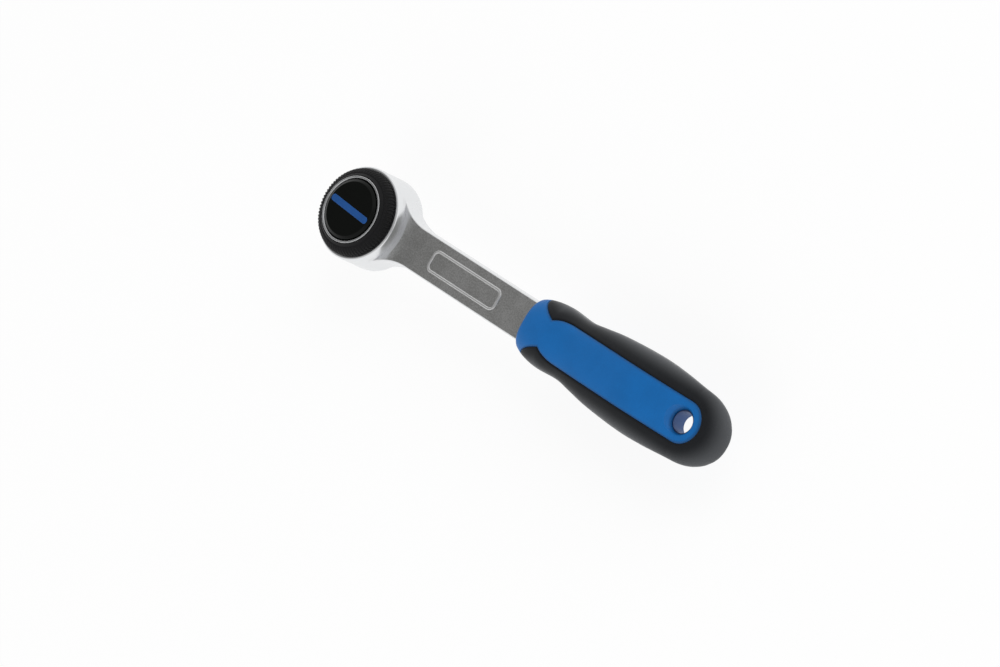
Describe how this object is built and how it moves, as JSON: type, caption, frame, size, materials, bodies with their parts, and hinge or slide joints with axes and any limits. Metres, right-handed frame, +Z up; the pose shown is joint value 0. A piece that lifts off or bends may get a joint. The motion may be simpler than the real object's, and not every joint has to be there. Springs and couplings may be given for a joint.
{
  "type": "reversible ratchet",
  "caption": "Round-head reversible ratchet with a knurled reversing ring, push-button quick release, 6.3 mm drive square and a two-part plastic grip with a hang hole.",
  "frame": {"origin": "middle of the drive square's end face", "axes": "+X along the handle, +Z up the drive axis towards the reversing ring and button"},
  "size_m": [0.1492, 0.026, 0.0253],
  "materials": {
    "satin_steel": "satin chrome on forged steel, polished on the head",
    "bright_chrome": "polished chrome",
    "dark_steel": "hardened, oiled",
    "spring_steel": "plain spring steel",
    "black_plastic": "moulded, knurled side",
    "gloss_black": "glossy moulded plastic",
    "blue_plastic": "satin moulded plastic",
    "soft_black": "soft moulded grip"
  },
  "bodies": {
    "handle": {"ratchet_body": "satin_steel", "thrust_washer": "spring_steel", "retaining_ring": "spring_steel", "handle_core": "blue_plastic", "soft_grip": "soft_black"},
    "drive": {"drive_anvil": "bright_chrome", "pawl_pin_forward": "spring_steel", "pawl_pin_reverse": "spring_steel", "pawl_spring_forward": "spring_steel", "pawl_spring_reverse": "spring_steel", "detent_spring": "spring_steel", "release_spring": "spring_steel"},
    "reverser": {"cam_plate": "dark_steel", "reversing_ring": "black_plastic", "trim_ring": "bright_chrome", "ring_screw_1": "dark_steel", "ring_screw_2": "dark_steel", "ring_screw_3": "dark_steel"},
    "forward_pawl": {"pawl_forward": "dark_steel"},
    "reverse_pawl": {"pawl_reverse": "dark_steel"},
    "button": {"release_button": "gloss_black", "button_inlay": "blue_plastic", "release_pin": "spring_steel"},
    "ball": {"locking_ball": "bright_chrome"}
  },
  "joints": [
    {"name": "drive_spin", "type": "hinge", "parent": "handle", "child": "drive", "pos_m": [0, 0, 0], "axis": [0, 0, 1], "continuous": true},
    {"name": "reverser_turn", "type": "hinge", "parent": "drive", "child": "reverser", "pos_m": [0, 0, 0], "axis": [0, 0, 1], "range_deg": [0, 30], "deforming": ["pawl_spring_forward", "pawl_spring_reverse", "detent_spring"]},
    {"name": "pawl_forward_rock", "type": "hinge", "parent": "drive", "child": "forward_pawl", "pos_m": [0.00626, 0.00253, 0], "axis": [0, 0, 1], "range_deg": [0, 14]},
    {"name": "pawl_reverse_rock", "type": "hinge", "parent": "drive", "child": "reverse_pawl", "pos_m": [0.00626, -0.00253, 0], "axis": [0, 0, 1], "range_deg": [0, 14]},
    {"name": "button_press", "type": "slide", "parent": "drive", "child": "button", "axis": [0, 0, -1], "range_m": [0, 0.002], "stiffness_N_per_m": 400, "springref_m": -0.004, "deforming": ["release_spring"]},
    {"name": "ball_retract", "type": "slide", "parent": "drive", "child": "ball", "axis": [0, 1, 0], "range_m": [0, 0.0006]}
  ],
  "couplings": [
    {"joint": "pawl_forward_rock", "follows": "reverser_turn", "ratio": 0.4},
    {"joint": "pawl_reverse_rock", "follows": "reverser_turn", "ratio": 0.4},
    {"joint": "ball_retract", "follows": "button_press", "ratio": 0.3}
  ]
}
